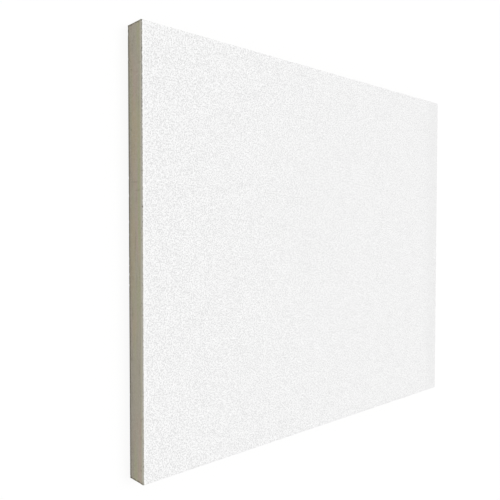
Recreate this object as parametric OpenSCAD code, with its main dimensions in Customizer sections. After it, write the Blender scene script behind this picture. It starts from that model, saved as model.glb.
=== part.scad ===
// Square-edged gypsum ceiling tile for an exposed lay-in grid.
// It lies on its back with the visible face up. X runs along its length, Y across its width
// and Z through its thickness. The origin is the middle of the back.

/* [Tile] */
// Length along X: a 600 mm grid module less the play for laying the tile in
tile_length = 595; // [295:1:1195]
// Width along Y: a 500 mm grid module less the same play
tile_width = 495; // [295:1:1195]

/* [Board] */
// Thickness of the gypsum board, from the back to the face layer
board_thickness = 24; // [9:0.5:40]
// Bevel along the four arrises of the back
back_bevel = 0.6; // [0.2:0.1:2]

/* [Face layer] */
// Thickness of the white textured layer that covers the front of the board
face_thickness = 4; // [1.5:0.1:6]
// Radius that eases the four arrises of the visible face
arris_radius = 1.2; // [0.4:0.1:1.5]

/* [Hidden] */

// Segments in a full circle, for the eased arrises
$fn = 48;

// Colours of the bare cut edge and of the face
edge_tan = [0.68, 0.64, 0.56];
face_white = [0.95, 0.95, 0.95];

// Section of the board across a side of the given width, standing on y = 0, with its two
// back corners cut off at 45 degrees.
module board_section(side) {
    half = side / 2;
    polygon([
        [-half + back_bevel, 0],
        [half - back_bevel, 0],
        [half, back_bevel],
        [half, board_thickness],
        [-half, board_thickness],
        [-half, back_bevel]
    ]);
}

// Section of the face layer across a side of the given width, standing on y = 0, with its two
// front corners rounded.
module face_section(side) {
    flat = side - 2 * arris_radius;
    shoulder = face_thickness - arris_radius;
    translate([-side / 2, 0])
        square([side, shoulder]);
    translate([-flat / 2, 0])
        square([flat, face_thickness]);
    intersection() {
        translate([-side / 2, 0])
            square([side, face_thickness]);
        for (end = [-1, 1])
            translate([end * flat / 2, shoulder])
                circle(r = arris_radius);
    }
}

// A plate that has its first child's section across the length and its second child's section
// across the width, so that the edge's form runs round all four sides and mitres at the corners.
module plate() {
    intersection() {
        rotate([90, 0, 0])
            linear_extrude(height = tile_width, center = true)
                children(0);
        rotate([90, 0, 90])
            linear_extrude(height = tile_length, center = true)
                children(1);
    }
}

// The cast board, which carries the tile's weight and shows only at its cut edges and its back.
module gypsum_board() {
    color(edge_tan)
        plate() {
            board_section(tile_length);
            board_section(tile_width);
        }
}

// The textured layer, which lies on the whole front of the board, flush with its four sides.
module face_layer() {
    color(face_white)
        translate([0, 0, board_thickness])
            plate() {
                face_section(tile_length);
                face_section(tile_width);
            }
}

gypsum_board();
face_layer();
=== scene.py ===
"""The looks of a gypsum ceiling tile that lies on its back with its sandy face up.

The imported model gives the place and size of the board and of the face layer. This
script models the relief of the face and of the cut edges, gives every surface its
finish, and adds the floor, the light and the camera.
"""

import logging
import math
import random
from collections.abc import Callable
from dataclasses import dataclass
from enum import Enum
from functools import reduce

import bpy
from mathutils import Matrix, Vector
from mathutils.kdtree import KDTree

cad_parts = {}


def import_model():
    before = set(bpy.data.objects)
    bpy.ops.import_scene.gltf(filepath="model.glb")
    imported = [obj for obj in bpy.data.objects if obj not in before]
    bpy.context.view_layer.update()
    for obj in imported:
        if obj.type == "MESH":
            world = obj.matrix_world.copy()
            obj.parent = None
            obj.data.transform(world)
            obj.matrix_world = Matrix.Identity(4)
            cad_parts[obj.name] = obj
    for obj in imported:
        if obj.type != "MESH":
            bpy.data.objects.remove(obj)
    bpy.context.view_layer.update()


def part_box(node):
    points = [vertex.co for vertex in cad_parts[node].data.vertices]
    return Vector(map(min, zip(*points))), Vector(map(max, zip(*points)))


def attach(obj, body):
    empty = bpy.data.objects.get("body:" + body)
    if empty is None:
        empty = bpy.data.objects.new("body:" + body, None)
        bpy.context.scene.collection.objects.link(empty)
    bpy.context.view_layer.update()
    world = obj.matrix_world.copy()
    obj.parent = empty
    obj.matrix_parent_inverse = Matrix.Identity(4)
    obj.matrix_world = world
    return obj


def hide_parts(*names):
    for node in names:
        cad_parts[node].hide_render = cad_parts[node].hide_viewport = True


MM = 0.001

Colour = tuple[float, float, float, float]
Point = tuple[float, float, float]
Pair = tuple[float, float]
Object = bpy.types.Object
Material = bpy.types.Material
Tree = bpy.types.NodeTree
Node = bpy.types.Node
Socket = bpy.types.NodeSocket
Inputs = dict[str, object] | tuple[object, ...]
Outputs = dict[str, Socket]

WHITE: Colour = (1.0, 1.0, 1.0, 1.0)
NOISE_MIDDLE = 0.5

log = logging.getLogger("tile")


class Axis(Enum):
    """The three directions of the row frame, by their place in a vector."""

    LENGTH = 0
    WIDTH = 1
    THICKNESS = 2


class Element(Enum):
    """The kinds of mesh element that are selected."""

    VERTEX = "VERT"
    EDGE = "EDGE"
    FACE = "FACE"


class Space(Enum):
    """Whether a noise varies in all directions, or only along the tile's face."""

    SOLID = "3D"
    FLAT = "2D"


def srgb(red: int, green: int, blue: int) -> Colour:
    """Turns a colour as a screen shows it into the linear colour that a shader takes.

    Args:
        red: Red from 0 to 255.
        green: Green from 0 to 255.
        blue: Blue from 0 to 255.

    Returns:
        The linear colour, with full alpha.
    """
    knee, toe, offset, gamma = 0.04045, 12.92, 0.055, 2.4

    def linear(value: int) -> float:
        """Turns one channel linear.

        Args:
            value: The channel from 0 to 255.

        Returns:
            The channel from 0 to 1.
        """
        share = value / 255
        if share <= knee:
            return share / toe
        return ((share + offset) / (1 + offset)) ** gamma

    return (linear(red), linear(green), linear(blue), 1.0)


@dataclass(frozen=True)
class Streaks:
    """A noise that is drawn out along the tile's sides."""

    size: float
    stretch: float
    detail: float


class NodeSheet:
    """A node tree that is filled one node at a time and wired as it goes."""

    def __init__(self, tree: Tree) -> None:
        """Takes the tree to fill."""
        self.tree = tree

    def add(self, kind: str, inputs: Inputs = (), **settings: object) -> Node:
        """Adds a node, sets its properties, and sets or links its inputs.

        Args:
            kind: The node's type name.
            inputs: Values to set or outputs to link, in order or by the input's name.
            **settings: Properties of the node, by name.

        Returns:
            The new node.
        """
        node = self.tree.nodes.new(kind)
        for name, value in settings.items():
            setattr(node, name, value)
        named = inputs.items() if isinstance(inputs, dict) else enumerate(inputs)
        for name, value in named:
            self.feed(node.inputs[name], value)
        return node

    def feed(self, socket: Socket, value: object) -> None:
        """Links an output to a socket, or sets the socket's own value.

        Args:
            socket: The input socket.
            value: The output to link, or the value to set.
        """
        if isinstance(value, Socket):
            self.tree.links.new(value, socket)
        else:
            socket.default_value = value

    def value(self, kind: str, inputs: Inputs = (), **settings: object) -> Socket:
        """Adds a node as add does, and returns its first output."""
        return self.add(kind, inputs, **settings).outputs[0]

    def maths(self, operation: str, *values: object) -> Socket:
        """Adds a Math node on the given values and returns its output."""
        return self.value("ShaderNodeMath", values, operation=operation)

    def product(self, *values: object) -> Socket:
        """Multiplies the given values in turn and returns the result."""
        return reduce(lambda one, other: self.maths("MULTIPLY", one, other), values)

    def inverse(self, share: object) -> Socket:
        """Takes a share from 1 and returns what is left."""
        return self.maths("SUBTRACT", 1.0, share)

    def step(self, value: object, low: object, high: object) -> Socket:
        """Maps low to 0 and high to 1 on a smooth step, and returns the result."""
        ends = {"Value": value, "From Min": low, "From Max": high}
        return self.value("ShaderNodeMapRange", ends, interpolation_type="SMOOTHSTEP")

    def blend(self, share: object, first: object, second: object) -> Socket:
        """Mixes two colours.

        Args:
            share: The share of the second colour.
            first: The first colour.
            second: The second colour.

        Returns:
            The mixed colour.
        """
        node = self.add("ShaderNodeMix", data_type="RGBA")
        sockets = {end.identifier: end for end in (*node.inputs, *node.outputs)}
        self.feed(sockets["Factor_Float"], share)
        self.feed(sockets["A_Color"], first)
        self.feed(sockets["B_Color"], second)
        return sockets["Result_Color"]

    def layers(self, colour: object, *coats: tuple[object, object]) -> object:
        """Lays coats over a colour.

        Args:
            colour: The colour at the bottom.
            *coats: Each coat's share and colour, from the lowest up.

        Returns:
            The colour that shows.
        """
        for share, coat in coats:
            colour = self.blend(share, colour, coat)
        return colour

    def noise(
        self, vector: object, size: float, detail: float, space: Space = Space.SOLID
    ) -> Socket:
        """Adds a noise with blotches of about the given size, and returns its value."""
        inputs = {"Vector": vector, "Scale": 1 / size, "Detail": detail}
        return self.value("ShaderNodeTexNoise", inputs, noise_dimensions=space.value)

    def swing(self, noise: Socket) -> Socket:
        """Shifts a noise so that it swings about 0, and returns it."""
        return self.maths("SUBTRACT", noise, NOISE_MIDDLE)

    def wander(self, vector: object, size: float) -> Socket:
        """Adds a ragged noise that swings about 0, and returns its value."""
        return self.swing(self.noise(vector, size, detail=3.0))

    def streaks(self, vector: object, kind: Streaks) -> Socket:
        """Adds a noise that is drawn out along the tile's sides.

        Args:
            vector: The point being shaded.
            kind: The size and stretch of the streaks.

        Returns:
            The noise's value.
        """
        scale = (1 / kind.stretch, 1 / kind.stretch, 1.0)
        drawn = self.value("ShaderNodeMapping", {"Vector": vector, "Scale": scale})
        return self.noise(drawn, kind.size, kind.detail)

    def cells(self, vector: object, scale: object) -> tuple[Socket, list[Socket]]:
        """Adds scattered cells.

        Args:
            vector: The point being shaded.
            scale: How many cells there are to a metre.

        Returns:
            The distance from the cell's middle, in cells, and three random values
            that each cell has to itself.
        """
        inputs = {"Vector": vector, "Scale": scale}
        cell = self.add("ShaderNodeTexVoronoi", inputs, feature="F1")
        chance = self.add("ShaderNodeSeparateColor", (cell.outputs["Color"],))
        return cell.outputs["Distance"], list(chance.outputs)

    def split(self, vector: object) -> Outputs:
        """Splits a vector and gives its X, Y and Z by name."""
        outputs = self.add("ShaderNodeSeparateXYZ", (vector,)).outputs
        return {socket.name: socket for socket in outputs}


class Effect:
    """A shader node group that more than one finish places with its own values."""

    def __init__(
        self, name: str, inputs: dict[str, float | None], outputs: tuple[str, ...]
    ) -> None:
        """Makes the group with its sockets.

        Args:
            name: The group's name.
            inputs: Each value input's default, or None for a vector input, by name.
            outputs: The names of the value outputs.
        """
        self.tree = bpy.data.node_groups.new(name, "ShaderNodeTree")
        sockets = self.tree.interface
        for title, default in inputs.items():
            kind = "NodeSocketVector" if default is None else "NodeSocketFloat"
            socket = sockets.new_socket(title, in_out="INPUT", socket_type=kind)
            if default is not None:
                socket.default_value = default
        for title in outputs:
            sockets.new_socket(title, in_out="OUTPUT", socket_type="NodeSocketFloat")
        self.sheet = NodeSheet(self.tree)
        self.given = self.sheet.add("NodeGroupInput").outputs
        self.result = self.sheet.add("NodeGroupOutput").inputs


def sand_effect() -> Tree:
    """Builds the grain of a sanded mineral surface, with some pale and dark grains.

    Returns:
        A group that takes Vector, Size and Share (of pale grains, and of dark ones)
        and gives Height, Pale, Dark and Pits.
    """
    inputs = {"Vector": None, "Size": 1.0 * MM, "Share": 0.3}
    effect = Effect("sand", inputs, ("Height", "Pale", "Dark", "Pits"))
    sheet, given, result = effect.sheet, effect.given, effect.result
    pit_chance, pit_depth = (0.14, 0.08), 0.5
    dome_height, fine_height, strongest_share = 0.8, 0.5, 0.4

    scale = sheet.maths("DIVIDE", 1.0, given["Size"])
    distance, chance = sheet.cells(given["Vector"], scale)
    speckle = {"Vector": given["Vector"], "Scale": scale, "Detail": 2.0}
    fine = sheet.value("ShaderNodeTexNoise", {**speckle, "Roughness": 0.6})
    pits = sheet.step(chance[2], *pit_chance)
    dome = sheet.maths("SUBTRACT", dome_height, distance)
    proud = sheet.product(dome, chance[1])
    sunk = sheet.maths("MULTIPLY_ADD", pits, -pit_depth, proud)
    height = sheet.maths("MULTIPLY_ADD", fine, fine_height, sunk)
    full = sheet.product(given["Share"], strongest_share)
    palest, pale = sheet.inverse(full), sheet.inverse(given["Share"])
    sheet.feed(result["Height"], height)
    sheet.feed(result["Pale"], sheet.step(chance[0], pale, palest))
    sheet.feed(result["Dark"], sheet.step(chance[0], given["Share"], full))
    sheet.feed(result["Pits"], pits)
    return effect.tree


def pores_effect() -> Tree:
    """Builds scattered pinholes such as air leaves in a cast.

    Returns:
        A group that takes Vector, Spacing and Share and gives Depth, 1 in the middle
        of a hole.
    """
    inputs = {"Vector": None, "Spacing": 5 * MM, "Share": 0.5}
    effect = Effect("pores", inputs, ("Depth",))
    sheet, given = effect.sheet, effect.given
    smallest, spread = 0.08, 0.16
    rim, bottom = 1.0, 0.4

    scale = sheet.maths("DIVIDE", 1.0, given["Spacing"])
    distance, chance = sheet.cells(given["Vector"], scale)
    present = sheet.maths("LESS_THAN", chance[0], given["Share"])
    radius = sheet.maths("MULTIPLY_ADD", chance[1], spread, smallest)
    hole = sheet.step(sheet.maths("DIVIDE", distance, radius), rim, bottom)
    sheet.feed(effect.result["Depth"], sheet.product(hole, present))
    return effect.tree


def seam_effect() -> Tree:
    """Builds a ragged level line round the tile: a joint, or the foot of a coat.

    Returns:
        A group that takes Vector, Line, Soft and Ragged and gives Above, 1 above the
        line.
    """
    inputs = {"Vector": None, "Line": 0.0, "Soft": 0.3 * MM, "Ragged": 1.0 * MM}
    effect = Effect("seam", inputs, ("Above",))
    sheet, given = effect.sheet, effect.given
    height = sheet.split(given["Vector"])["Z"]
    wander = sheet.wander(given["Vector"], size=2.2 * MM)
    level = sheet.maths("MULTIPLY_ADD", wander, given["Ragged"], height)
    low = sheet.maths("SUBTRACT", given["Line"], given["Soft"])
    high = sheet.maths("ADD", given["Line"], given["Soft"])
    sheet.feed(effect.result["Above"], sheet.step(level, low, high))
    return effect.tree


def outline_effect() -> Tree:
    """Builds a measure of how near a point is to the tile's outline and corners.

    Returns:
        A group that takes Vector, Half Length and Half Width and gives Rim, 1 by the
        outline, and Corner, 1 by one of the outline's corners.
    """
    inputs = {"Vector": None, "Half Length": 300 * MM, "Half Width": 250 * MM}
    effect = Effect("outline", inputs, ("Rim", "Corner"))
    sheet, given, result = effect.sheet, effect.given, effect.result
    rim, corner = (3.5 * MM, 1.0 * MM), (2.6 * MM, 0.4 * MM)
    raggedness = 6.0 * MM

    at = sheet.split(given["Vector"])
    gaps = [
        sheet.maths("SUBTRACT", given[half], sheet.maths("ABSOLUTE", at[side]))
        for half, side in (("Half Length", "X"), ("Half Width", "Y"))
    ]
    nearer, farther = sheet.maths("MINIMUM", *gaps), sheet.maths("MAXIMUM", *gaps)
    wander = sheet.wander(given["Vector"], size=3.5 * MM)
    ragged = sheet.maths("MULTIPLY_ADD", wander, raggedness, farther)
    sheet.feed(result["Rim"], sheet.step(nearer, *rim))
    sheet.feed(result["Corner"], sheet.step(ragged, *corner))
    return effect.tree


@dataclass(frozen=True)
class Effects:
    """The shared node groups."""

    sand: Tree
    pores: Tree
    seam: Tree
    outline: Tree


class FinishSheet(NodeSheet):
    """The node sheet of one material, with its shader and the point being shaded."""

    def __init__(
        self, name: str, effects: Effects, roughness: float, specular: float
    ) -> None:
        """Starts the material.

        Args:
            name: The material's name.
            effects: The shared node groups.
            roughness: Its even roughness.
            specular: Its even specular level.
        """
        self.material = bpy.data.materials.new(name)
        self.material.use_nodes = True
        super().__init__(self.material.node_tree)
        self.effects = effects
        self.shader = self.tree.nodes["Principled BSDF"]
        self.feed(self.shader.inputs["Roughness"], roughness)
        self.feed(self.shader.inputs["Specular IOR Level"], specular)
        self.place = self.add("ShaderNodeTexCoord").outputs["Object"]
        self.at = self.split(self.place)

    def group(self, shared: Tree, *values: object) -> Outputs:
        """Places a shared node group at the point being shaded.

        Args:
            shared: The node group.
            *values: This material's own values for it, in the order of its inputs.

        Returns:
            The group's outputs by name.
        """
        given = (self.place, *values)
        outputs = self.add("ShaderNodeGroup", given, node_tree=shared).outputs
        return {socket.name: socket for socket in outputs}

    def sand(self, size: float, share: float) -> Outputs:
        """Places the sandy grain and gives its outputs by name."""
        return self.group(self.effects.sand, size, share)

    def pores(self, spacing: float, share: float) -> Socket:
        """Places the pinholes and gives their depth."""
        return self.group(self.effects.pores, spacing, share)["Depth"]

    def above(self, line: object, soft: float, ragged: float) -> Socket:
        """Gives 1 above a level line, over a soft step, with the line ragged."""
        return self.group(self.effects.seam, line, soft, ragged)["Above"]

    def outline(self, half: Pair) -> Outputs:
        """Gives Rim and Corner, 1 by the tile's outline and by its corners."""
        return self.group(self.effects.outline, *half)

    def mark(self, name: str) -> Socket:
        """Gives the value of a mesh attribute at the point being shaded."""
        return self.add("ShaderNodeAttribute", attribute_name=name).outputs["Fac"]

    def finish(self, colour: Socket, height: Socket, depth: float) -> Material:
        """Gives the shader its colour and its relief.

        Args:
            colour: The surface's colour.
            height: The relief's height map.
            depth: How deep a height of 1 is.

        Returns:
            The finished material.
        """
        self.feed(self.shader.inputs["Base Color"], colour)
        relief = {"Height": height, "Distance": depth, "Strength": 1.0}
        bump = self.value("ShaderNodeBump", relief)
        self.feed(self.shader.inputs["Normal"], bump)
        return self.material


@dataclass(frozen=True)
class FaceFinish:
    """Matt white grains on the front, and the layer's raw pale body on its cut side.

    A pair is the two ends of a smooth step, apart from half the length and width, the
    size and share of the sand, the spacing and share of the pores, and how soft and
    ragged the coat's foot is.
    """

    half: Pair
    joint: float
    paint_line: float
    worn_line: float
    white: Colour = srgb(245, 245, 245)
    pale: Colour = srgb(251, 251, 251)
    dark: Colour = srgb(240, 240, 240)
    # gap and pit are painted shade, where the relief between the beads and in the pits
    # is low.
    gap: Colour = srgb(223, 223, 223)
    pit: Colour = srgb(224, 224, 224)
    # darkened: the front is greyer by the rim at +X.
    darkened: Colour = srgb(229, 229, 229)
    raw: Colour = srgb(193, 189, 178)
    raw_light: Colour = srgb(208, 204, 191)
    raw_low: Colour = srgb(189, 185, 160)
    # Painted shade in the hollows and under the white; it also darkens the corners.
    dark_and_shade: Colour = srgb(94, 90, 78)
    sand: Pair = (0.9 * MM, 0.35)
    bead: float = 1.55 * MM
    bead_gaps: Pair = (0.62, 0.22)
    bead_rise: float = 0.8
    pores: Pair = (3.2 * MM, 0.3)
    hole_depth: float = 1.5
    relief: float = 0.25 * MM
    worn_side: Pair = (3.0 * MM, 1.5 * MM)
    coat_foot: Pair = (0.1 * MM, 0.45 * MM)
    chip_bares: Pair = (0.35, 0.15)
    # hollow_shade and chip_darkens set the painted shade in pinholes and chips.
    chip_darkens: Pair = (0.2, 0.6)
    hollow_shade: float = 0.9
    far_rim: Pair = (48 * MM, 10 * MM)
    far_rim_grey: float = 0.45
    near_rim: Pair = (4.0 * MM, 1.6 * MM)
    # A painted highlight: the front is paler along the -X arris.
    near_rim_highlight: float = 0.6
    speck: float = 1.6 * MM
    specks: Pair = (0.5, 0.66)
    over_joint: Pair = (1.6 * MM, 0.6 * MM)
    # Darker by the corners of the outline.
    corner_darkening: float = 0.6
    # The painted shadow line right under the white on the worn side.
    line_drop: float = 0.9 * MM
    line_edge: float = 0.4 * MM
    line_patch: float = 3.0 * MM
    line_breaks: Pair = (0.3, 0.6)
    line_grows: Pair = (0.0, 150 * MM)
    line_faint: float = 0.15
    line_gain: float = 0.42

    def build(self, effects: Effects) -> Material:
        """Builds the material.

        Args:
            effects: The shared node groups.

        Returns:
            The finished material.
        """
        sheet = FinishSheet("face_texture", effects, roughness=0.92, specular=0.2)
        grain, holes = sheet.sand(*self.sand), sheet.pores(*self.pores)
        beads = sheet.noise(sheet.place, self.bead, detail=0.0, space=Space.FLAT)
        chipped = sheet.mark("chipped")
        ends = [gap - self.half[0] for gap in self.worn_side]
        worn = sheet.step(sheet.at["X"], *ends)

        back = self.worn_line - self.paint_line
        line = sheet.maths("MULTIPLY_ADD", worn, back, self.paint_line)
        painted = sheet.above(line, *self.coat_foot)
        whole = sheet.product(painted, sheet.step(chipped, *self.chip_bares))
        # Painted shade: the pinholes and chips are darkened in the colour.
        hollow = sheet.maths("MAXIMUM", holes, sheet.step(chipped, *self.chip_darkens))
        colour = sheet.layers(
            self.cut_side(sheet, worn),
            (sheet.product(hollow, self.hollow_shade), self.dark_and_shade),
            (whole, self.front(sheet, grain, beads)),
        )

        sunk = sheet.product(holes, sheet.inverse(whole))
        beaded = sheet.maths("MULTIPLY_ADD", beads, self.bead_rise, grain["Height"])
        height = sheet.maths("MULTIPLY_ADD", sunk, -self.hole_depth, beaded)
        return sheet.finish(colour, height, self.relief)

    def front(self, sheet: FinishSheet, grain: Outputs, beads: Socket) -> Socket:
        """Gives the colour of the white front.

        It is greyer by the rim at +X, and has a painted highlight along the arris at
        -X. The pits and the gaps between the beads have painted shade.

        Args:
            sheet: The material's sheet.
            grain: The sandy grain's outputs.
            beads: The noise of evenly spaced beads.

        Returns:
            The colour.
        """
        along = sheet.at["X"]
        far = sheet.step(along, *(self.half[0] - gap for gap in self.far_rim))
        near = sheet.step(along, *(gap - self.half[0] for gap in self.near_rim))
        return sheet.layers(
            self.white,
            (grain["Pale"], self.pale),
            (grain["Dark"], self.dark),
            # Painted shade between the beads and in the pits.
            (sheet.step(beads, *self.bead_gaps), self.gap),
            (grain["Pits"], self.pit),
            (sheet.product(far, self.far_rim_grey), self.darkened),
            # Painted highlight along the -X arris.
            (sheet.product(near, self.near_rim_highlight), self.pale),
        )

    def cut_side(self, sheet: FinishSheet, worn: Socket) -> Socket:
        """Gives the colour of the layer's bare cut side, without its hollows.

        Args:
            sheet: The material's sheet.
            worn: 1 on the side where the white is worn back.

        Returns:
            The colour.
        """
        speck = sheet.noise(sheet.place, self.speck, detail=2.0)
        ends = [self.joint + rise for rise in self.over_joint]
        corner = sheet.outline(self.half)["Corner"]
        darkened = sheet.product(corner, worn, self.corner_darkening)
        # Darker by the corners, and a painted shadow line right under the white.
        darkening_and_shadow = sheet.maths("MAXIMUM", darkened, self.arris_shadow_line(sheet, worn))
        return sheet.layers(
            self.raw,
            (sheet.step(speck, *self.specks), self.raw_light),
            (sheet.step(sheet.at["Z"], *ends), self.raw_low),
            (darkening_and_shadow, self.dark_and_shade),
        )

    def arris_shadow_line(self, sheet: FinishSheet, worn: Socket) -> Socket:
        """Gives the share of a thin broken painted shadow line right under the white.

        It lies on the worn side only, and is faint in the -Y half of the tile's width
        and stronger towards the +Y end.

        Args:
            sheet: The material's sheet.
            worn: 1 on the side where the white is worn back.

        Returns:
            The share of painted shadow.
        """
        foot = self.worn_line - self.line_drop
        under = sheet.step(sheet.at["Z"], foot, foot + self.line_edge)
        grown = sheet.step(sheet.at["Y"], *self.line_grows)
        patches = sheet.noise(sheet.place, self.line_patch, detail=1.0)
        broken = sheet.step(patches, *self.line_breaks)
        strong = sheet.maths("MULTIPLY_ADD", grown, self.line_gain, self.line_faint)
        return sheet.product(under, worn, sheet.product(strong, broken))


@dataclass(frozen=True)
class BoardFinish:
    """Tan cut gypsum with lengthwise stains, greyer by the back, paler by the face.

    A pair is the two ends of a smooth step, apart from half the length and width, the
    size and share of the sand, the spacing and share of the pores, how soft and ragged
    the lime's edge is, and the middle and reach along Y of the mossy stretch. The
    painted shade along the foot has its line, and then how soft and ragged it is.
    """

    half: Pair
    joint: float
    grey: Colour = srgb(180, 175, 164)
    olive: Colour = srgb(175, 174, 153)
    ochre: Colour = srgb(191, 172, 154)
    mauve: Colour = srgb(183, 171, 160)
    straw: Colour = srgb(181, 177, 145)
    moss: Colour = srgb(176, 177, 143)
    pale: Colour = srgb(190, 188, 168)
    line: Colour = srgb(145, 138, 119)
    fleck: Colour = srgb(192, 186, 172)
    # hole is painted shade in holes, dents and along the foot, and also darkens the
    # corners.
    hole: Colour = srgb(101, 95, 80)
    sand: Pair = (1.0 * MM, 0.4)
    fleck_share: float = 0.5
    pores: Pair = (5 * MM, 0.35)
    hole_depth: float = 1.6
    # Painted shade in the holes and dents.
    hole_shade: float = 0.55
    relief: float = 0.25 * MM
    sawing: Streaks = Streaks(3 * MM, stretch=12, detail=3.0)
    staining: Streaks = Streaks(17 * MM, stretch=5, detail=1.0)
    tinting: Streaks = Streaks(9 * MM, stretch=12, detail=1.0)
    either: Pair = (0.4, 0.6)
    dusty_share: float = 0.5
    back_fades: Pair = (0.15, 0.6)
    back_wanders: float = 0.4
    sawn: Pair = (0.48, 0.3)
    sawn_share: float = 0.4
    lime: Pair = (0.9 * MM, 1.6 * MM)
    # The painted shade along the foot, where the board meets the floor.
    foot: Point = (2.5 * MM, 0.7 * MM, 0.8 * MM)
    foot_shade: float = 0.6
    # Darker by the corners of the outline.
    corner_darkening: float = 0.72
    mossy: Pair = (65 * MM, 60 * MM)
    mossy_fade: float = 15 * MM
    moss_top: Pair = (1.0, 0.93)
    moss_foot: Pair = (0.74, 0.82)
    moss_wanders: float = 0.2
    moss_patches: Pair = (0.42, 0.56)
    moss_faint: float = 0.45
    moss_share: float = 0.9

    def build(self, effects: Effects) -> Material:
        """Builds the material.

        Args:
            effects: The shared node groups.

        Returns:
            The finished material.
        """
        sheet = FinishSheet("cut_gypsum", effects, roughness=0.95, specular=0.15)
        grain, holes = sheet.sand(*self.sand), sheet.pores(*self.pores)
        streak = sheet.streaks(sheet.place, self.sawing)
        near = sheet.outline(self.half)

        sawn = sheet.step(streak, *self.sawn)
        # Painted shade along the foot, where the board meets the floor; darker by the
        # corners.
        low = sheet.inverse(sheet.above(*self.foot))
        shaded_foot = sheet.product(low, near["Rim"], self.foot_shade)
        by_corner = sheet.product(near["Corner"], self.corner_darkening)
        # Painted shade in the holes, dents, scores and nicks.
        sunk = sheet.maths("MAXIMUM", holes, sheet.mark("dented"))
        colour = sheet.layers(
            self.stains(sheet, streak),
            (sheet.product(sawn, near["Rim"], self.sawn_share), self.line),
            (sheet.above(self.joint, *self.lime), self.pale),
            (sheet.product(grain["Pale"], self.fleck_share), self.fleck),
            (sheet.maths("MAXIMUM", shaded_foot, by_corner), self.hole),
            (sheet.product(sunk, self.hole_shade), self.hole),
        )

        raised = sheet.maths("ADD", streak, grain["Height"])
        height = sheet.maths("MULTIPLY_ADD", holes, -self.hole_depth, raised)
        return sheet.finish(colour, height, self.relief)

    def stains(self, sheet: FinishSheet, streak: Socket) -> Socket:
        """Gives the colour of the stained gypsum.

        Args:
            sheet: The material's sheet.
            streak: Fine noise drawn out along the edge.

        Returns:
            The colour, grey by the back and mottled above it.
        """
        stain = sheet.streaks(sheet.place, self.staining)
        tinge = sheet.streaks(sheet.place, self.tinting)
        rise = sheet.maths("DIVIDE", sheet.at["Z"], self.joint)
        earthy = sheet.blend(sheet.step(stain, *self.either), self.olive, self.ochre)
        dusty = sheet.blend(sheet.step(tinge, *self.either), self.mauve, self.straw)
        wander = sheet.maths("MULTIPLY_ADD", tinge, self.back_wanders, rise)
        return sheet.layers(
            self.grey,
            (
                sheet.step(wander, *self.back_fades),
                sheet.blend(self.dusty_share, earthy, dusty),
            ),
            (self.moss_streak(sheet, rise, streak, tinge), self.moss),
        )

    def moss_streak(
        self, sheet: FinishSheet, rise: Socket, streak: Socket, tinge: Socket
    ) -> Socket:
        """Gives the share of a yellow-green streak under the joint.

        It is strong in one stretch of the tile's width and comes and goes beyond it.

        Args:
            sheet: The material's sheet.
            rise: The height as a share of the board's thickness.
            streak: Fine noise drawn out along the edge.
            tinge: Coarse noise drawn out along the edge.

        Returns:
            The share of the streak's colour.
        """
        wander = sheet.swing(streak)
        level = sheet.maths("MULTIPLY_ADD", wander, self.moss_wanders, rise)
        under = sheet.step(level, *self.moss_top)
        over = sheet.step(level, *self.moss_foot)
        middle, reach = self.mossy
        off = sheet.maths("ABSOLUTE", sheet.maths("SUBTRACT", sheet.at["Y"], middle))
        fade = self.mossy_fade
        strong = sheet.step(off, reach + fade, reach - fade)
        faint = sheet.product(sheet.step(tinge, *self.moss_patches), self.moss_faint)
        present = sheet.product(sheet.maths("MAXIMUM", strong, faint), self.moss_share)
        return sheet.product(under, over, present)


def select_only(obj: Object) -> None:
    """Deselects everything else and makes the object the active one.

    Args:
        obj: The object in hand.
    """
    bpy.ops.object.select_all(action="DESELECT")
    obj.select_set(True)
    bpy.context.view_layer.objects.active = obj


def start_selection(kind: Element) -> None:
    """Goes into edit mode with nothing selected.

    Args:
        kind: The kind of element that is selected next.
    """
    bpy.ops.object.mode_set(mode="EDIT")
    bpy.ops.mesh.select_mode(type=kind.value)
    bpy.ops.mesh.select_all(action="DESELECT")


def select_where(obj: Object, kind: Element, wanted: Callable[[object], bool]) -> None:
    """Selects elements by their place or direction, and stays in edit mode.

    Args:
        obj: The object in hand.
        kind: The kind of element.
        wanted: Says whether a vertex, edge or face is wanted.
    """
    start_selection(kind)
    bpy.ops.object.mode_set(mode="OBJECT")
    mesh = obj.data
    elements = {
        Element.VERTEX: mesh.vertices,
        Element.EDGE: mesh.edges,
        Element.FACE: mesh.polygons,
    }
    for element in elements[kind]:
        element.select = wanted(element)
    bpy.ops.object.mode_set(mode="EDIT")


def take_primitive(name: str, size: Point) -> Object:
    """Names the primitive that was just added and stretches its mesh.

    Args:
        name: The piece's name.
        size: The size along X, Y and Z of a primitive that measures 1 each way.

    Returns:
        The piece, with its place and size in its mesh.
    """
    obj = bpy.context.object
    obj.name = obj.data.name = name
    obj.scale = size
    bpy.ops.object.transform_apply(location=True, rotation=True, scale=True)
    return obj


def close_rim() -> None:
    """Fills the selected rim, turns all faces outwards and leaves edit mode."""
    bpy.ops.mesh.edge_face_add()
    bpy.ops.mesh.select_all(action="SELECT")
    bpy.ops.mesh.normals_make_consistent(inside=False)
    bpy.ops.object.mode_set(mode="OBJECT")


def weigh(obj: Object, name: str, shares: list[float]) -> None:
    """Gives the object a vertex group.

    Args:
        obj: The object in hand.
        name: The group's name.
        shares: One weight for each vertex. A weight of 0 is left out.
    """
    group = obj.vertex_groups.new(name=name)
    for index, share in enumerate(shares):
        if share > 0:
            group.add([index], share, "REPLACE")


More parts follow.
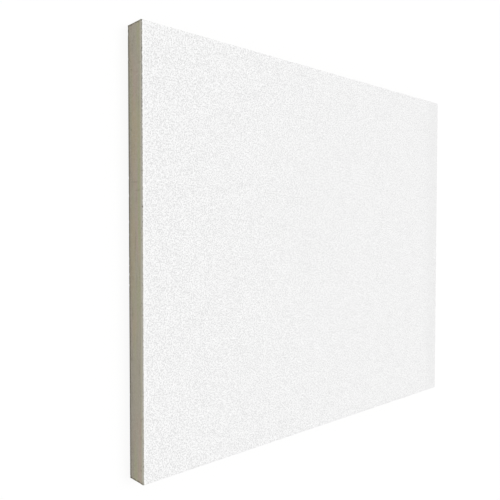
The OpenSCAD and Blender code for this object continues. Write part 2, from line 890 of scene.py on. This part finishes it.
@dataclass(frozen=True)
class Relief:
    """One layer of unevenness that a Displace modifier presses into a surface."""

    name: str
    size: float
    depth: float
    stretch: float = 1.0

    def press(self, obj: Object, group: str) -> None:
        """Presses a cloudy pattern inwards by up to the depth and applies it.

        Args:
            obj: The piece in hand.
            group: The vertex group that takes the relief.
        """
        texture = bpy.data.textures.new(self.name, "CLOUDS")
        texture.noise_scale = 1.0
        texture.noise_depth = 2
        gauge = bpy.data.objects.new(self.name, None)
        gauge.scale = (self.size * self.stretch, self.size * self.stretch, self.size)
        bpy.context.scene.collection.objects.link(gauge)
        bpy.context.view_layer.update()
        select_only(obj)
        modifier = obj.modifiers.new(self.name, "DISPLACE")
        modifier.texture = texture
        modifier.texture_coords = "OBJECT"
        modifier.texture_coords_object = gauge
        modifier.strength = self.depth
        modifier.mid_level = 1.0
        modifier.vertex_group = group
        bpy.ops.object.modifier_apply(modifier=modifier.name)
        bpy.data.objects.remove(gauge)
        bpy.data.textures.remove(texture)


@dataclass(frozen=True)
class Dent:
    """A hollow or chip: its middle, how far it reaches and how deep it is."""

    place: Point
    radius: float
    depth: float


@dataclass(frozen=True)
class Score:
    """A fine mark across the -X side: its place along Y, and its two heights.

    It is made of dents, spaced by a share of their radius.
    """

    along: float
    low: float
    high: float
    spacing: float = 0.7

    def dents(self, side: float, radius: float, depth: float) -> list[Dent]:
        """Makes the mark as a row of dents that run into one another.

        Args:
            side: The X of the side.
            radius: Half the mark's width.
            depth: The mark's depth.

        Returns:
            The dents.
        """
        steps = round((self.high - self.low) / (self.spacing * radius))
        rise = (self.high - self.low) / steps
        return [
            Dent((side, self.along, self.low + turn * rise), radius, depth)
            for turn in range(steps + 1)
        ]


@dataclass(frozen=True)
class Wear:
    """A kind of dent with a random reach, in millimetres, and a depth in proportion."""

    least: float
    most: float
    depth: float

    def reach(self, chance: random.Random) -> float:
        """Draws how far one dent reaches, in metres."""
        return chance.uniform(self.least, self.most) * MM

    def dent(self, place: Point, reach: float) -> Dent:
        """Makes a dent of this kind at a place."""
        return Dent(place, reach, self.depth * reach)


def press_dents(obj: Object, dents: list[Dent], name: str) -> None:
    """Sinks the dents into the surface and marks them with an attribute.

    Args:
        obj: The piece in hand.
        dents: The dents to sink.
        name: The attribute's name. It is 1 in the middle of the deepest dent.
    """
    vertices = obj.data.vertices
    tree = KDTree(len(vertices))
    for vertex in vertices:
        tree.insert(vertex.co, vertex.index)
    tree.balance()
    deepest = max(dent.depth for dent in dents)
    shares = [0.0] * len(vertices)
    for dent in dents:
        for _, index, distance in tree.find_range(dent.place, dent.radius):
            hollow = 1 - (distance / dent.radius) ** 2
            shares[index] = max(shares[index], hollow * dent.depth / deepest)
    group = f"{name}_depth"
    weigh(obj, group, shares)
    marks = obj.data.attributes.new(name, "FLOAT", "POINT")
    marks.data.foreach_set("value", shares)
    select_only(obj)
    modifier = obj.modifiers.new(name, "DISPLACE")
    modifier.strength = -deepest
    modifier.mid_level = 0.0
    modifier.vertex_group = group
    bpy.ops.object.modifier_apply(modifier=modifier.name)
    log.info("%s: %d %s places", obj.name, len(dents), name)


def on_outline(half: Pair, run: float) -> Pair:
    """Finds the point after a run round the tile's outline from its -X -Y corner.

    Args:
        half: Half the length and half the width.
        run: The share of the way round, from 0 to 1.

    Returns:
        The point's X and Y.
    """
    length, width = 2 * half[0], 2 * half[1]
    left = run * 2 * (length + width)
    for span, start, step in (
        (length, (-half[0], -half[1]), (1, 0)),
        (width, (half[0], -half[1]), (0, 1)),
        (length, (half[0], half[1]), (-1, 0)),
        (width, (-half[0], half[1]), (0, -1)),
    ):
        if left <= span:
            return (start[0] + left * step[0], start[1] + left * step[1])
        left -= span
    return (-half[0], -half[1])


def draw_down(depth: float, inward: float, half: Pair, height: float) -> None:
    """Extrudes the selected rim by one step of an edge's section.

    Args:
        depth: How far down the new rim lies.
        inward: How far it moves in towards the middle. Below zero it moves out.
        half: Half the length and half the width that the selected rim has now.
        height: The height of the selected rim now.
    """
    drop = {"value": (0, 0, -depth)}
    bpy.ops.mesh.extrude_region_move(TRANSFORM_OT_translate=drop)
    bpy.ops.transform.resize(
        value=((half[0] - inward) / half[0], (half[1] - inward) / half[1], 1),
        center_override=(0, 0, height - depth),
    )


@dataclass
class Piece:
    """A piece that stands for one node of the frame and rides on the tile's body."""

    node: str
    smooth_angle: float
    body: str = "root"
    reliefs: tuple[Relief, ...] = ()

    def __post_init__(self) -> None:
        """Reads the node's box from the frame."""
        self.low, self.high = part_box(self.node)

    @property
    def half(self) -> Pair:
        """Half the node's length and half its width."""
        return (self.high.x, self.high.y)

    def press_reliefs(self, obj: Object, shares: list[float]) -> None:
        """Presses the piece's layers of unevenness into its mesh.

        Args:
            obj: The piece's object.
            shares: How much of them each vertex takes, from 0 to 1.
        """
        weigh(obj, "relief", shares)
        for relief in self.reliefs:
            relief.press(obj, "relief")
        log.info("%s: %d vertices", obj.name, len(shares))

    def take_place(self, obj: Object) -> None:
        """Smooths the shading of the finished mesh and puts it in the node's place.

        Args:
            obj: The piece's object.
        """
        select_only(obj)
        bpy.ops.object.shade_smooth_by_angle(angle=math.radians(self.smooth_angle))
        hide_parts(self.node)
        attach(obj, self.body)

    def dress(self, obj: Object, material: Material) -> None:
        """Gives the piece one material all over.

        Args:
            obj: The piece's object.
            material: The finish.
        """
        obj.data.materials.clear()
        obj.data.materials.append(material)
        log.info("%s: finished with %s", obj.name, material.name)


@dataclass
class FaceLayer(Piece):
    """The textured white layer: a fine grid, drawn down over the arris and the sides.

    The chips on the -X side have a place along Y and a depth, both in millimetres. The
    scattered chips and the foot of the white are a multiple of the arris down.
    """

    node: str = "face_layer"
    smooth_angle: float = 50.0
    arris: float = 1.2 * MM
    arris_steps: int = 3
    cell: float = 2.0 * MM
    side_step: float = 0.9 * MM
    jitter: float = 0.6 * MM
    lift: float = 0.14
    reliefs: tuple[Relief, ...] = (
        Relief("pebbles", 2.6 * MM, 0.14 * MM),
        Relief("swell", 30 * MM, 0.06 * MM),
    )
    relief_fade: float = 1.2 * MM
    arris_chips: tuple[Pair, ...] = (
        (243.4, 0.32), (233.0, 0.28), (220.6, 0.32), (217.5, 0.5), (210.2, 0.24),
        (202.9, 0.24), (198.8, 0.28), (193.6, 0.28), (186.3, 0.34), (163.4, 0.28),
        (51.2, 0.7), (35.0, 0.38), (-3.2, 0.38), (-13.3, 0.28), (-32.0, 0.38),
        (-37.7, 0.26), (-201.5, 0.32), (-227.4, 0.42), (-231.8, 0.26),
    )
    side_chips: tuple[Pair, ...] = (
        (211.7, 0.38), (209.6, 0.32), (185.6, 0.28), (179.4, 0.28), (153.2, 0.38),
        (151.1, 0.34), (143.8, 0.32), (53.4, 0.36), (-170.7, 0.24), (-224.8, 0.32),
        (-232.4, 0.26),
    )
    arris_chip_drop: float = 0.7 * MM
    side_chip_drop: float = 1.8 * MM
    chip_reach: float = 1.2 * MM
    scattered: int = 60
    scattered_chips: Wear = Wear(0.8, 1.3, depth=0.45)
    scattered_drop: float = 1.3
    paint_drop: float = 0.9
    worn_drop: float = 0.2
    seed: int = 7

    def under_front(self, arrises: float) -> float:
        """Gives the height that is a multiple of the arris below the front."""
        return self.high.z - arrises * self.arris

    def build(self) -> Object:
        """Models the layer.

        Returns:
            The layer, in its place.
        """
        obj = self.front()
        self.sides(obj)
        self.roughen(obj)
        self.chip(obj)
        self.take_place(obj)
        return obj

    def front(self) -> Object:
        """Adds the flat front inside the arrises, as a grid that is finer by its rim.

        Returns:
            The front.
        """
        length, width = (
            self.high[axis.value] - self.low[axis.value] - 2 * self.arris
            for axis in (Axis.LENGTH, Axis.WIDTH)
        )
        bpy.ops.object.select_all(action="DESELECT")
        bpy.ops.mesh.primitive_grid_add(
            x_subdivisions=round(length / self.cell),
            y_subdivisions=round(width / self.cell),
            size=1,
            location=(0, 0, self.high.z),
        )
        obj = take_primitive("textured_face", (length, width, 1))
        start_selection(Element.EDGE)
        bpy.ops.mesh.select_non_manifold()
        bpy.ops.mesh.subdivide(number_cuts=1, ngon=True, quadcorner="INNERVERT")
        bpy.ops.object.mode_set(mode="OBJECT")
        return obj

    def sides(self, obj: Object) -> None:
        """Draws the rim over the arris and down to the board, and closes it.

        Args:
            obj: The flat front.
        """
        start_selection(Element.EDGE)
        bpy.ops.mesh.select_non_manifold()
        out, height = -self.arris, self.high.z
        for turn in range(1, self.arris_steps + 1):
            angle = math.radians(90) * turn / self.arris_steps
            next_out = -self.arris * (1 - math.sin(angle))
            next_height = self.high.z - self.arris * (1 - math.cos(angle))
            half = (self.high.x + out, self.high.y + out)
            draw_down(height - next_height, out - next_out, half, height)
            out, height = next_out, next_height
        rows = round((height - self.low.z) / self.side_step)
        drop = (height - self.low.z) / rows
        for _ in range(rows):
            draw_down(drop, 0.0, self.half, height)
            height -= drop
        close_rim()
        log.info("%s: closed with %d rows of side", obj.name, rows)

    def roughen(self, obj: Object) -> None:
        """Scatters the grid's points and presses the sandy relief into them.

        Args:
            obj: The closed layer.
        """
        hair = 0.3 * MM
        flat = [half - self.arris - hair for half in self.half]

        def inside(vertex: bpy.types.MeshVertex) -> bool:
            """Says whether the point is on the flat front, off its rim."""
            x, y, z = vertex.co
            return z > self.high.z - hair and abs(x) < flat[0] and abs(y) < flat[1]

        select_only(obj)
        select_where(obj, Element.VERTEX, inside)
        bpy.ops.transform.vertex_random(
            offset=self.jitter, uniform=0.0, normal=0.0, seed=self.seed
        )
        bpy.ops.transform.resize(
            value=(1, 1, self.lift), center_override=(0, 0, self.high.z)
        )
        bpy.ops.object.mode_set(mode="OBJECT")
        rises = [
            min(1.0, max(0.0, (vertex.co.z - self.low.z) / self.relief_fade))
            for vertex in obj.data.vertices
        ]
        self.press_reliefs(obj, rises)

    def chip(self, obj: Object) -> None:
        """Breaks small chips out of the front arris and the side right below it.

        Those on the -X side have their own places and depths, and those on the others
        lie anywhere.

        Args:
            obj: The roughened layer.
        """
        chance = random.Random(self.seed)
        level = self.under_front(self.scattered_drop)
        rows = (
            (self.arris_chips, self.arris_chip_drop),
            (self.side_chips, self.side_chip_drop),
        )
        side = -self.half[0]
        chips = [
            Dent((side, along * MM, self.high.z - drop), self.chip_reach, depth * MM)
            for spots, drop in rows
            for along, depth in spots
        ]
        for _ in range(self.scattered):
            x, y = on_outline(self.half, chance.random())
            reach = self.scattered_chips.reach(chance)
            if x > side:
                chips.append(self.scattered_chips.dent((x, y, level), reach))
        press_dents(obj, chips, "chipped")


@dataclass
class CutBoard(Piece):
    """The tan board: four finely divided cut walls, a bevelled back and a flat front.

    Nicks have a place along Y, and holes one along Y and a height, in millimetres. The
    size of a hole or score is its reach and its depth. The nicks by the back lie at a
    share of the bevel's height.
    """

    node: str = "gypsum_board"
    smooth_angle: float = 40.0
    bevel: float = 0.6 * MM
    margin: float = 4.0 * MM
    cell: float = 1.0 * MM
    reliefs: tuple[Relief, ...] = (
        Relief("saw_streaks", 1.8 * MM, 0.22 * MM, stretch=14),
        Relief("wall_grain", 2.4 * MM, 0.2 * MM),
    )
    relief_fade: float = 0.8 * MM
    back_nicks: tuple[float, ...] = (
        244, 238, 211.5, 83, 64, 35.5, 21.5, -4.5, -12.5, -22, -34, -154.5, -245,
    )
    back_wear: Wear = Wear(1.3, 2.0, depth=0.14)
    back_rise: float = 0.6
    joint_nicks: tuple[float, ...] = (
        101.5, -146, -151.5, -178.5, -196.5, -198.5, -227.5, -233,
    )
    joint_wear: Wear = Wear(1.1, 1.5, depth=0.25)
    joint_drop: float = 0.8 * MM
    holes: tuple[Pair, ...] = ((199, 6.5), (134.5, 6))
    hole_size: Pair = (1.4 * MM, 0.35 * MM)
    scores: tuple[Score, ...] = (
        Score(78 * MM, 4.5 * MM, 18.5 * MM),
        Score(69 * MM, 15.5 * MM, 23 * MM),
    )
    score_size: Pair = (1.0 * MM, 0.18 * MM)
    scattered: int = 70
    scattered_pits: Wear = Wear(0.8, 1.4, depth=0.3)
    scattered_nicks: Wear = Wear(1.0, 1.7, depth=0.14)
    scattered_margin: float = 2 * MM
    seed: int = 21

    def build(self) -> Object:
        """Models the board.

        Returns:
            The board, in its place.
        """
        obj = self.walls()
        self.close(obj)
        self.roughen(obj)
        self.dent(obj)
        self.take_place(obj)
        return obj

    def walls(self) -> Object:
        """Adds the four walls above the back bevel, divided into small cells.

        Returns:
            The walls.
        """
        foot = self.low.z + self.bevel
        size = (2 * self.high.x, 2 * self.high.y, self.high.z - foot)
        middle = (0, 0, (foot + self.high.z) / 2)
        bpy.ops.object.select_all(action="DESELECT")
        bpy.ops.mesh.primitive_cube_add(size=1, location=middle)
        obj = take_primitive("cut_board", size)
        level = 0.5
        select_where(obj, Element.FACE, lambda face: abs(face.normal.z) > level)
        bpy.ops.mesh.delete(type="ONLY_FACE")
        bpy.ops.object.mode_set(mode="OBJECT")
        for axis in Axis:
            self.divide(obj, axis, round(size[axis.value] / self.cell))
        return obj

    def divide(self, obj: Object, axis: Axis, parts: int) -> None:
        """Cuts every edge along an axis into equal parts, in two goes.

        One go makes at most 100 cuts.

        Args:
            obj: The walls.
            axis: The direction of the edges to cut.
            parts: About how many parts each edge becomes.
        """
        straight = 0.9

        def runs_along(edge: bpy.types.MeshEdge) -> bool:
            """Says whether the edge lies along the axis.

            Args:
                edge: An edge of the walls.

            Returns:
                Whether it does.
            """
            first, second = (obj.data.vertices[index].co for index in edge.vertices)
            span = second - first
            return abs(span[axis.value]) > straight * span.length

        coarse = math.ceil(math.sqrt(parts))
        for goal in (coarse, round(parts / coarse)):
            select_where(obj, Element.EDGE, runs_along)
            bpy.ops.mesh.subdivide(number_cuts=goal - 1)
            bpy.ops.object.mode_set(mode="OBJECT")

    def close(self, obj: Object) -> None:
        """Adds the bevel round the back, and fills the back and the front.

        A margin inside each rim takes the nicks, so that the wide faces stay flat.

        Args:
            obj: The four walls.
        """
        hair = 0.01 * MM
        foot, top = self.low.z + self.bevel, self.high.z
        back = (self.half[0] - self.bevel, self.half[1] - self.bevel)
        select_where(obj, Element.VERTEX, lambda vertex: vertex.co.z < foot + hair)
        draw_down(self.bevel, self.bevel, self.half, foot)
        draw_down(0.0, self.margin, back, self.low.z)
        bpy.ops.mesh.edge_face_add()
        bpy.ops.object.mode_set(mode="OBJECT")
        select_where(obj, Element.VERTEX, lambda vertex: vertex.co.z > top - hair)
        draw_down(0.0, self.margin, self.half, top)
        close_rim()

    def roughen(self, obj: Object) -> None:
        """Presses saw streaks and a fine unevenness into the walls.

        Args:
            obj: The closed board.
        """

        def share(height: float) -> float:
            """Full on the walls, fading out by the joint and the back."""
            inside = min(self.high.z - height, height - self.low.z - self.bevel)
            return min(1.0, max(0.0, inside / self.relief_fade))

        self.press_reliefs(obj, [share(vertex.co.z) for vertex in obj.data.vertices])

    def dent(self, obj: Object) -> None:
        """Sinks holes and scores into the walls and breaks nicks out of their arrises.

        Those on the -X side have their own places, and those on the others lie
        anywhere.

        Args:
            obj: The roughened board.
        """
        chance = random.Random(self.seed)
        side = -self.half[0]
        foot = self.low.z + self.back_rise * self.bevel
        joint = self.high.z - self.joint_drop
        lowest = self.low.z + self.scattered_margin
        highest = self.high.z - self.scattered_margin
        dents = [Dent((side, y * MM, z * MM), *self.hole_size) for y, z in self.holes]
        for _ in range(self.scattered):
            x, y = on_outline(self.half, chance.random())
            z = chance.uniform(lowest, highest)
            pit = self.scattered_pits.reach(chance)
            nick = self.scattered_nicks.reach(chance)
            if x > side:
                dents.append(self.scattered_pits.dent((x, y, z), pit))
                dents.append(self.scattered_nicks.dent((x, -y, foot), nick))
        for places, wear, height in (
            (self.back_nicks, self.back_wear, foot),
            (self.joint_nicks, self.joint_wear, joint),
        ):
            for along in places:
                reach = wear.reach(chance)
                dents.append(wear.dent((side, along * MM, height), reach))
        for score in self.scores:
            dents.extend(score.dents(side, *self.score_size))
        press_dents(obj, dents, "dented")


@dataclass
class Studio:
    """A plain white floor, an even white surround and one broad soft lamp."""

    floor_size: float = 30.0
    floor_play: float = 0.02 * MM
    floor_paint: Colour = (0.8, 0.8, 0.8, 1.0)
    floor_glow: float = 1.03
    floor_share: float = 0.86
    surround: float = 0.65
    lamp_place: Point = (2, 0, 2)
    lamp_strength: float = 1.46
    lamp_angle: float = 35.0
    lamp_height: float = 70.0
    lamp_turn: float = 30.0

    def build(self) -> None:
        """Adds the floor, the surround and the lamp."""
        self.floor()
        self.world()
        self.lamp()

    def floor(self) -> None:
        """Adds the floor, which looks white to the camera and keeps a soft shadow.

        It lies a hair below the tile, so that it isn't level with the tile's back.
        """
        under = (0, 0, -self.floor_play)
        bpy.ops.object.select_all(action="DESELECT")
        bpy.ops.mesh.primitive_plane_add(size=self.floor_size, location=under)
        obj = bpy.context.object
        obj.name = "floor"
        material = bpy.data.materials.new("floor_white")
        material.use_nodes = True
        nodes = material.node_tree.nodes
        nodes.remove(nodes["Principled BSDF"])
        sheet = NodeSheet(material.node_tree)
        paint = sheet.add("ShaderNodeBsdfDiffuse", {"Color": self.floor_paint})
        glow = sheet.add("ShaderNodeEmission", (WHITE, self.floor_glow))
        share = sheet.product(seen_directly(sheet), self.floor_share)
        mixed = (share, paint.outputs[0], glow.outputs[0])
        both = sheet.add("ShaderNodeMixShader", mixed)
        sheet.feed(nodes["Material Output"].inputs["Surface"], both.outputs[0])
        obj.data.materials.append(material)

    def world(self) -> None:
        """Lights the scene evenly from all round, and shows the camera plain white."""
        world = bpy.data.worlds.new("surround")
        bpy.context.scene.world = world
        world.use_nodes = True
        sheet = NodeSheet(world.node_tree)
        seen = seen_directly(sheet)
        level = sheet.maths("MULTIPLY_ADD", seen, 1.0 - self.surround, self.surround)
        backdrop = world.node_tree.nodes["Background"]
        sheet.feed(backdrop.inputs["Color"], WHITE)
        sheet.feed(backdrop.inputs["Strength"], level)

    def lamp(self) -> None:
        """Adds the lamp, far off and broad, so that its light is soft and even."""
        bpy.ops.object.light_add(type="SUN", location=self.lamp_place)
        lamp = bpy.context.object
        lamp.name = "key_lamp"
        lamp.data.energy = self.lamp_strength
        lamp.data.angle = math.radians(self.lamp_angle)
        rise, turn = math.radians(self.lamp_height), math.radians(self.lamp_turn)
        flat = math.cos(rise)
        towards = Vector((flat * math.cos(turn), flat * math.sin(turn), math.sin(rise)))
        lamp.rotation_euler = towards.to_track_quat("Z", "Y").to_euler()


def seen_directly(sheet: NodeSheet) -> Socket:
    """Gives 1 for rays from the camera, and for those by way of a mirror or glass.

    Args:
        sheet: The material's or the world's sheet.

    Returns:
        1 for such a ray, and 0 for any other.
    """
    path = sheet.add("ShaderNodeLightPath").outputs
    either = sheet.maths("MAXIMUM", path["Is Camera Ray"], path["Is Glossy Ray"])
    return sheet.maths("MAXIMUM", either, path["Is Transmission Ray"])


@dataclass
class Viewpoint:
    """The photograph's view: over the tile's -X end, with +Y up in the picture."""

    place: Point = (-0.6318, 0.0239, 0.5618)
    aim: Point = (-0.1178, 0.0011, 0.0)
    up: Point = (0.0195, 0.9996, -0.0227)
    lens: float = 42.16
    sensor: float = 36.0

    def build(self) -> None:
        """Adds the camera and makes it the scene's own."""
        bpy.ops.object.camera_add(location=self.place)
        camera = bpy.context.object
        camera.name = "photo_view"
        back = (Vector(self.place) - Vector(self.aim)).normalized()
        right = Vector(self.up).cross(back).normalized()
        turn = Matrix((right, back.cross(right), back)).transposed()
        camera.rotation_euler = turn.to_euler()
        camera.data.lens = self.lens
        camera.data.sensor_width = self.sensor
        bpy.context.scene.camera = camera


def main() -> None:
    """Sets up the camera and the studio, then builds and dresses the two pieces."""
    logging.basicConfig(level=logging.INFO, format="%(name)s: %(message)s")
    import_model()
    Viewpoint().build()
    Studio().build()
    effects = Effects(
        sand=sand_effect(),
        pores=pores_effect(),
        seam=seam_effect(),
        outline=outline_effect(),
    )

    layer = FaceLayer()
    face_finish = FaceFinish(
        half=layer.half,
        joint=layer.low.z,
        paint_line=layer.under_front(layer.paint_drop),
        worn_line=layer.under_front(layer.worn_drop),
    )
    layer.dress(layer.build(), face_finish.build(effects))

    board = CutBoard()
    board_finish = BoardFinish(half=board.half, joint=board.high.z)
    board.dress(board.build(), board_finish.build(effects))

    bpy.context.scene.view_settings.view_transform = "Standard"


if __name__ == "__main__":
    main()
